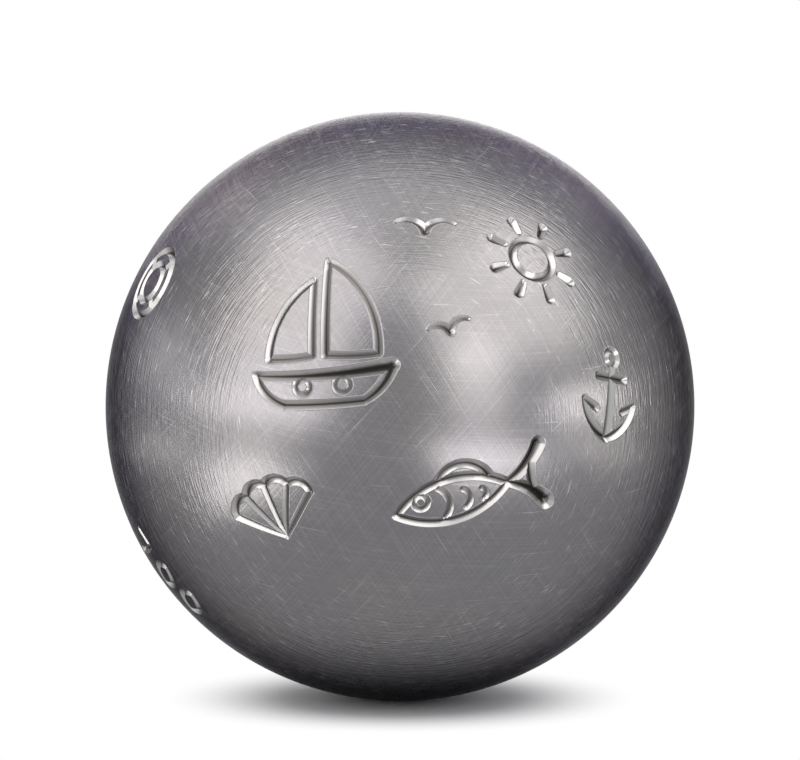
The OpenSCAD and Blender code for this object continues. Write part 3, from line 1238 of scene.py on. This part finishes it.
@dataclass(frozen=True)
class Scratches:
    """One set of scratches.

    It gives its axis, as angles right of -Y and up in degrees, how often the
    noise changes across and along it in each millimetre, the level and span of
    the noise, its depth in millimetres, the share of fresh steel's colour that
    shows in it, which also paints glints, and how far it reaches towards its
    axis as a share of the radius.
    """

    axis: tuple[float, float]
    across: float
    along: float
    level: float
    span: float
    depth: float
    fresh: float = 0.0
    reach: float = 0.8

    @property
    def turn(self) -> tuple[float, float, float]:
        """Angles about X, Y and Z that bring the axis to X."""
        out = facing(*self.axis)
        return (math.atan2(out[2], -out[1]), 0.0, math.atan2(math.hypot(out[1], out[2]), out[0]))

    def mask(self, nodes: Nodes, group: bpy.types.NodeTree, position: Socket) -> Socket:
        """Draw the set.

        Args:
            nodes: The material's nodes.
            group: The scratches' node group.
            position: Place on the ball, in millimetres.

        Returns:
            1 in a scratch and 0 outside it.
        """
        return nodes.group(
            group,
            Position=position,
            Turn=self.turn,
            Across=self.across,
            Along=self.along,
            Level=self.level,
            Span=self.span,
            Reach=self.reach,
        ).outputs["Mask"]


@dataclass(frozen=True)
class Specks:
    """One kind of speck.

    It gives how many cells there are in each millimetre, the largest radius of a
    speck in millimetres, and the share of the cells that hold one.
    """

    density: float
    radius: float
    share: float

    def draw(self, nodes: Nodes, group: bpy.types.NodeTree, position: Socket) -> tuple[Socket, Socket]:
        """Draw the specks.

        Args:
            nodes: The material's nodes.
            group: The specks' node group.
            position: Place on the ball, in millimetres.

        Returns:
            1 in a speck and 0 outside it, and a random number for each speck.
        """
        made = nodes.group(
            group, Position=position, Density=self.density, Radius=self.radius, Share=self.share
        )
        return made.outputs["Mask"], made.outputs["Chance"]


@dataclass(frozen=True)
class Patches:
    """Broad soft patches, which a noise makes as it rises from low to high.

    It also gives how often the noise changes in each millimetre, and how many
    finer noises are laid over it.
    """

    scale: float
    low: float
    high: float
    detail: float = 2.0

    def mask(self, nodes: Nodes, position: Socket) -> Socket:
        """Draw the patches, as 1 inside and 0 outside."""
        return nodes.ramp(nodes.noise(position, self.scale, self.detail), self.low, self.high)


@dataclass(frozen=True)
class Steel:
    """Turned, hardened steel, with scratches from handling.

    Dirt and painted shade darken the engraved lines, and grow between two
    depths, given in millimetres. Nicks are small dark dents, and specks of dust
    lie on the metal.
    """

    name: str
    colour: Colour
    # Lighter colour of fresh steel in the scratches, which also paints glints.
    fresh_steel_and_glint_colour: Colour
    cut_colour: Colour
    roughness: float
    cut_roughness: float
    edge_tint: Colour
    scratches: tuple[Scratches, ...]
    rings: Scratches
    ring_patches: Patches = Patches(scale=0.07, low=0.42, high=0.6)
    warm_patches: Patches = Patches(scale=0.045, low=0.35, high=0.65, detail=3.0)
    cool_share: Colour = (0.97, 0.98, 1.03)
    # Dirt and painted shade that darken the engraved lines.
    dirt_and_shade_colour: Colour = (0.045, 0.04, 0.036)
    dirt_and_shade_from: float = 0.34
    dirt_and_shade_to: float = 0.6
    dirt_and_shade_strength: float = 0.75
    nicks: Specks = Specks(density=0.22, radius=0.2, share=0.05)
    nick_depth: float = 0.03
    nick_colour: Colour = (0.03, 0.02, 0.015)
    nick_strength: float = 0.8
    dust: Specks = Specks(density=0.5, radius=0.11, share=0.05)
    warm_dust_colour: Colour = (0.62, 0.55, 0.5)
    cool_dust_colour: Colour = (0.35, 0.4, 0.55)

    def marks(self, nodes: Nodes, group: bpy.types.NodeTree, position: Socket) -> tuple[Socket, Socket]:
        """Add up the height and the fresh steel of every set of scratches.

        Args:
            nodes: The material's nodes.
            group: The scratches' node group.
            position: Place on the ball, in millimetres.

        Returns:
            The height in millimetres, and the share of fresh steel and painted glints.
        """
        height: object = 0.0
        fresh: object = 0.0
        drawn = [(scratches, scratches.mask(nodes, group, position)) for scratches in self.scratches]
        patches = self.ring_patches.mask(nodes, position)
        drawn.append((self.rings, nodes.math("MULTIPLY", self.rings.mask(nodes, group, position), patches)))
        for scratches, mask in drawn:
            height = nodes.math("MULTIPLY_ADD", mask, -scratches.depth, height)
            # The fresh share is fresh steel and painted glints.
            if scratches.fresh > 0:
                fresh = nodes.math("MULTIPLY_ADD", mask, scratches.fresh, fresh)
        return height, nodes.math("MINIMUM", fresh, 1.0)

    def bare_colour(self, nodes: Nodes, position: Socket, fresh: Socket, cut: Socket) -> Socket:
        """Mix the clean metal's colour.

        It wanders between cooler and warmer, and turns to fresh steel in the
        scratches, whose lighter colour also paints glints, and to cut steel in
        the engraved lines.

        Args:
            nodes: The material's nodes.
            position: Place on the ball, in millimetres.
            fresh: Share of fresh steel, which also paints glints.
            cut: 1 in an engraved line and 0 outside it.

        Returns:
            The colour.
        """
        cool = tuple(channel * share for channel, share in zip(self.colour, self.cool_share))
        warmth = self.warm_patches.mask(nodes, position)
        colour = nodes.mix(warmth, opaque(cool), opaque(self.colour))
        # Scratches turn lighter: fresh steel, and painted glints.
        colour = nodes.mix(fresh, colour, opaque(self.fresh_steel_and_glint_colour))
        return nodes.mix(cut, colour, opaque(self.cut_colour))

    def material(self, groups: dict[str, bpy.types.NodeTree]) -> bpy.types.Material:
        """Make the steel's material.

        Args:
            groups: The node groups of scratches and specks.

        Returns:
            The material.
        """
        made, nodes = new_material(self.name)
        shader = nodes.add("ShaderNodeBsdfPrincipled")
        output = nodes.add("ShaderNodeOutputMaterial")
        nodes.feed(output.inputs["Surface"], shader.outputs[0])
        place = nodes.add("ShaderNodeTexCoord").outputs["Object"]
        scaled = nodes.add("ShaderNodeVectorMath", place, operation="SCALE")
        scaled.inputs["Scale"].default_value = 1 / MM
        position = scaled.outputs[0]
        cut = nodes.add("ShaderNodeAttribute", attribute_name="cut").outputs["Fac"]
        depth = nodes.add("ShaderNodeAttribute", attribute_name="depth").outputs["Fac"]
        whole = nodes.math("SUBTRACT", 1.0, cut)

        height, fresh = self.marks(nodes, groups["scratches"], position)
        height = nodes.math("MULTIPLY", height, whole)
        nick, _ = self.nicks.draw(nodes, groups["specks"], position)
        nick = nodes.math("MULTIPLY", nick, whole)
        height = nodes.math("MULTIPLY_ADD", nick, -self.nick_depth, height)
        bump = nodes.add("ShaderNodeBump")
        nodes.feed(bump.inputs["Distance"], MM)
        nodes.feed(bump.inputs["Height"], height)
        nodes.feed(shader.inputs["Normal"], bump.outputs[0])

        colour = self.bare_colour(nodes, position, fresh, cut)
        # Painted shade, with some dirt, darkens the engraved lines from one depth to another.
        dirt_and_shade = nodes.math("MULTIPLY", nodes.ramp(depth, self.dirt_and_shade_from, self.dirt_and_shade_to), self.dirt_and_shade_strength)
        colour = nodes.mix(dirt_and_shade, colour, opaque(self.dirt_and_shade_colour))
        dark = nodes.math("MULTIPLY", nick, self.nick_strength)
        colour = nodes.mix(dark, colour, opaque(self.nick_colour))
        dust, chance = self.dust.draw(nodes, groups["specks"], position)
        dust_colour = nodes.mix(chance, opaque(self.warm_dust_colour), opaque(self.cool_dust_colour))
        nodes.feed(shader.inputs["Base Color"], nodes.mix(dust, colour, dust_colour))
        nodes.feed(shader.inputs["Metallic"], nodes.math("SUBTRACT", 1.0, dust))

        cut_difference = self.cut_roughness - self.roughness
        roughness = nodes.math("MULTIPLY_ADD", cut, cut_difference, self.roughness)
        nodes.feed(shader.inputs["Roughness"], roughness)
        shader.inputs["Specular Tint"].default_value = opaque(self.edge_tint)
        return made


TURNED_GRAIN = (
    Scratches(axis=(2, 2), across=5, along=0.25, level=0.26, span=0.53, depth=0.017, reach=0.98),
    Scratches(axis=(-5, 4), across=6, along=0.2, level=0.26, span=0.53, depth=0.013, reach=0.88),
    Scratches(axis=(8, -3), across=5.5, along=0.3, level=0.26, span=0.53, depth=0.013, reach=0.88),
)
# The fresh share of these sets also paints glints.
WIPED_GRAIN = (
    Scratches(axis=(90, 30), across=8, along=0.1, level=0.47, span=0.4, depth=0.0035, fresh=0.08, reach=0.9),
    Scratches(axis=(90, -40), across=8, along=0.1, level=0.47, span=0.4, depth=0.0035, fresh=0.08, reach=0.9),
    Scratches(axis=(30, 74), across=8, along=0.1, level=0.5, span=0.4, depth=0.003, fresh=0.08, reach=0.9),
)
HANDLING_SCRATCHES = (
    Scratches(axis=(-6, -2), across=6, along=0.45, level=0.74, span=0.09, depth=0.008, fresh=0.45, reach=0.9),
    Scratches(axis=(9, 7), across=6.5, along=0.4, level=0.74, span=0.09, depth=0.008, fresh=0.4, reach=0.9),
    Scratches(axis=(100, 34), across=8, along=0.12, level=0.75, span=0.13, depth=0.005, fresh=0.22),
    Scratches(axis=(84, -44), across=8, along=0.12, level=0.75, span=0.13, depth=0.005, fresh=0.22),
    Scratches(axis=(20, 78), across=8, along=0.15, level=0.77, span=0.13, depth=0.006, fresh=0.25),
)
STEEL_MARKS = (*TURNED_GRAIN, *WIPED_GRAIN, *HANDLING_SCRATCHES)
TURNING_RINGS = Scratches(axis=(4, 5), across=1.6, along=0.03, level=0.3, span=0.4, depth=0.011, reach=0.9)

SHELL_STEEL = Steel(
    name="satin_shell_steel",
    colour=(0.156, 0.15, 0.152),
    # The fresh colour also paints glints in the scratches.
    fresh_steel_and_glint_colour=(0.46, 0.445, 0.44),
    cut_colour=(0.31, 0.306, 0.304),
    roughness=0.28,
    cut_roughness=0.3,
    edge_tint=(0.16, 0.158, 0.17),
    scratches=STEEL_MARKS,
    rings=TURNING_RINGS,
)

WELD_STEEL = replace(SHELL_STEEL, name="turned_weld_steel", colour=(0.16, 0.154, 0.156), roughness=0.29)


@dataclass(frozen=True)
class SoftBox:
    """A flat rectangular lamp that faces the ball and lights nothing else.

    Its place is its angles right of -Y and up. Its width and height are the
    angles that it fills as seen from the ball. All four are in degrees, and its
    distance from the ball is in metres.
    """

    name: str
    right: float
    up: float
    width: float
    height: float
    radiance: float
    colour: Colour = LAMP_COLOUR
    distance: float = 3.0

    def place(self) -> None:
        """Add the lamp to the scene, at its distance from the ball."""
        angles = (self.width, self.height)
        sides = [2 * self.distance * math.tan(math.radians(angle / 2)) for angle in angles]
        towards = Vector(facing(self.right, self.up))
        made = steel_lamp(self.name, sides, self.radiance, self.colour)
        made.location = towards * self.distance
        made.rotation_euler = towards.to_track_quat("Z", "Y").to_euler()


@dataclass(frozen=True)
class FloorCard:
    """A bright card that lies on the floor beside the ball, outside the picture.

    Its place and its sides are millimetres along X and Y, and its lift is
    millimetres above the floor.
    """

    name: str
    place_x: float
    place_y: float
    side_x: float
    side_y: float
    radiance: float
    colour: Colour = LAMP_COLOUR
    lift: float = 0.5

    def place(self) -> None:
        """Add the card to the scene, facing up."""
        sides = [self.side_x * MM, self.side_y * MM]
        made = steel_lamp(self.name, sides, self.radiance, self.colour)
        made.location = (self.place_x * MM, self.place_y * MM, CAD_BOX[0][2] + self.lift * MM)
        made.rotation_euler = (math.pi, 0.0, 0.0)


def steel_lamp(name: str, sides: list[float], radiance: float, colour: Colour) -> bpy.types.Object:
    """Make a flat lamp that lights the ball's steel alone.

    Args:
        name: The lamp's name.
        sides: Its width and its height, in metres.
        radiance: Its brightness, where 1 is white.
        colour: Its colour.

    Returns:
        The lamp, at the origin and shining down.
    """
    light = bpy.data.lights.new(name, "AREA")
    light.shape = "RECTANGLE"
    light.size, light.size_y = sides
    light.energy = radiance * math.pi * sides[0] * sides[1]
    light.color = colour
    light.use_shadow = False
    made = new_object(name, light)
    made.visible_camera = False
    made.visible_diffuse = False
    return made


@dataclass(frozen=True)
class Studio:
    """The floor, the lamps, the world and the camera.

    The floor's reach and the camera's distance are metres. The ball's shadow is
    kept within one distance of its foot and gone at another, in millimetres.
    """

    floor_reach: float = 12.0
    floor_colour: Colour = (0.97, 0.97, 0.97)
    shadow_from: float = 13.0
    shadow_to: float = 30.0
    world_strength: float = 1.0
    world_colour: Colour = (0.965, 0.98, 1.0)
    camera_distance: float = 0.9
    camera_up: float = 6.0
    image_size: tuple[int, int] = (800, 760)
    ball_centre_pixel: tuple[float, float] = (400.0, 406.5)
    ball_radius_pixels: float = 294.5
    sensor_width: float = 36.0
    lamps: tuple[SoftBox | FloorCard, ...] = (
        SoftBox("left_box", right=-51, up=32, width=52, height=80, radiance=2.95, colour=(1.0, 0.955, 0.915)),
        SoftBox("left_low_box", right=-64, up=2.5, width=60, height=5, radiance=4.2),
        SoftBox("left_side_box", right=-112, up=9, width=30, height=16, radiance=1.6),
        SoftBox("right_box", right=55, up=44, width=65, height=47, radiance=2.6),
        SoftBox("right_low_box", right=31, up=14.5, width=22, height=28, radiance=2.9),
        SoftBox("right_side_box", right=77, up=2.5, width=34, height=5, radiance=10.0),
        SoftBox("top_box", right=170, up=83, width=94, height=38, radiance=1.25),
        SoftBox("rear_box", right=-177, up=21, width=69, height=36, radiance=5.8),
        FloorCard("left_card", place_x=-100, place_y=-68, side_x=70, side_y=72, radiance=4.3),
        FloorCard("left_far_card", place_x=-215, place_y=-135, side_x=150, side_y=130, radiance=1.7),
        FloorCard("left_side_card", place_x=-200, place_y=40, side_x=110, side_y=110, radiance=2.1),
        FloorCard("right_card", place_x=92, place_y=-178, side_x=112, side_y=165, radiance=5.4),
        FloorCard("right_side_card", place_x=200, place_y=-45, side_x=110, side_y=110, radiance=1.8),
    )

    def floor(self) -> bpy.types.Object:
        """Lay the floor at the lowest point of the ball.

        Returns:
            The floor.
        """
        reach, level = self.floor_reach, CAD_BOX[0][2]
        mesh = bpy.data.meshes.new("studio_floor")
        corners = np.array([[-1, -1], [1, -1], [1, 1], [-1, 1]]) * reach
        points = np.concatenate([corners, np.full((4, 1), level)], axis=1)
        mesh.from_pydata(points.tolist(), [], [(0, 1, 2, 3)])
        mesh.materials.append(self.floor_material(level))
        return new_object("studio_floor", mesh)

    def floor_material(self, level: float) -> bpy.types.Material:
        """Make the floor's material.

        Round the ball it is plain matt white, and keeps the ball's shadow. From
        there it turns to an even white, for what is seen and what is mirrored.

        Args:
            level: Height of the floor, in metres.

        Returns:
            The material.
        """
        made, nodes = new_material("plain_floor")
        matt = nodes.add("ShaderNodeBsdfDiffuse", opaque(self.floor_colour))
        white = nodes.add("ShaderNodeEmission", opaque(WHITE), 1.0)
        place = nodes.add("ShaderNodeTexCoord").outputs["Object"]
        away = nodes.add("ShaderNodeVectorMath", place, (0.0, 0.0, level), operation="DISTANCE")
        beyond = nodes.ramp(away.outputs["Value"], self.shadow_from * MM, self.shadow_to * MM)
        rays = nodes.add("ShaderNodeLightPath").outputs
        seen = nodes.math("ADD", rays["Is Camera Ray"], rays["Is Glossy Ray"])
        seen = nodes.math("ADD", seen, rays["Is Transmission Ray"], clamp=True)
        share = nodes.math("MULTIPLY", beyond, seen)
        mixed = nodes.add("ShaderNodeMixShader", share, matt.outputs[0], white.outputs[0])
        output = nodes.add("ShaderNodeOutputMaterial")
        nodes.feed(output.inputs["Surface"], mixed.outputs[0])
        return made

    def world(self) -> None:
        """Surround the scene with an even, slightly cool light."""
        world = bpy.data.worlds.new("studio_world")
        world.use_nodes = True
        background = world.node_tree.nodes["Background"]
        background.inputs["Color"].default_value = opaque(self.world_colour)
        background.inputs["Strength"].default_value = self.world_strength
        bpy.context.scene.world = world

    def camera(self) -> None:
        """Place the camera so that the ball fills its place in the picture.

        A ball of radius r at distance d is seen within an angle whose tangent is
        r / sqrt(d * d - r * r), and the focal length turns that into pixels. The
        camera looks at the point that lies in the middle of the picture.
        """
        lens = bpy.data.cameras.new("photo_camera")
        radius = SIZES.ball_r * MM
        tangent = radius / math.sqrt(self.camera_distance**2 - radius**2)
        focal_pixels = self.ball_radius_pixels / tangent
        width, height = self.image_size
        lens.sensor_width = self.sensor_width
        lens.lens = focal_pixels * self.sensor_width / width
        made = new_object("photo_camera", lens)
        up = math.radians(self.camera_up)
        back = Vector((0, -math.cos(up), math.sin(up)))
        upright = Vector((0, math.sin(up), math.cos(up)))
        sideways = Vector((1, 0, 0))
        pixel = self.camera_distance / focal_pixels
        off_x = (width / 2 - self.ball_centre_pixel[0]) * pixel
        off_y = (self.ball_centre_pixel[1] - height / 2) * pixel
        made.location = back * self.camera_distance + sideways * off_x + upright * off_y
        made.rotation_euler = back.to_track_quat("Z", "Y").to_euler()
        bpy.context.scene.camera = made

    def build(self) -> None:
        """Set up everything that isn't the ball."""
        self.floor()
        self.world()
        for lamp in self.lamps:
            lamp.place()
        self.camera()
        bpy.context.scene.view_settings.view_transform = "Standard"


@dataclass(frozen=True)
class Boule:
    """The whole ball: its pieces, their finishes and the nodes that they stand for."""

    shell_slot: str = "shell"
    weld_slot: str = "weld"

    def dress(self) -> None:
        """Build every piece, give it its material and seat it on the frame."""
        groups = {"scratches": scratch_group(), "specks": speck_group()}
        shell_steel = SHELL_STEEL.material(groups)
        weld_steel = WELD_STEEL.material(groups)
        grooves = Grooves.of(FIGURES)
        pieces = (
            (FrontHalfShell().build(grooves), "front_half_shell", self.shell_slot, shell_steel),
            (RearHalfShell().build(), "rear_half_shell", self.shell_slot, shell_steel),
            (WeldCapRun().build(), "weld_cap_run", self.weld_slot, weld_steel),
        )
        for surface, node, slot, material in pieces:
            piece = surface.object()
            piece.data.materials.append(material)
            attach(piece, ROOT_BODY)
            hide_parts(node)
            LOG.info("%s: %d triangles, stands for %s", piece.name, len(surface.triangles), node)
        root_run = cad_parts["weld_root_run"]
        root_run.data.materials.clear()
        root_run.data.materials.append(weld_steel)
        LOG.info("weld_root_run: kept, with its own steel")


def main() -> None:
    """Build the studio and the ball."""
    logging.basicConfig(level=logging.INFO, format="%(name)s: %(message)s")
    Studio().build()
    Boule().dress()


if __name__ == "__main__":
    main()
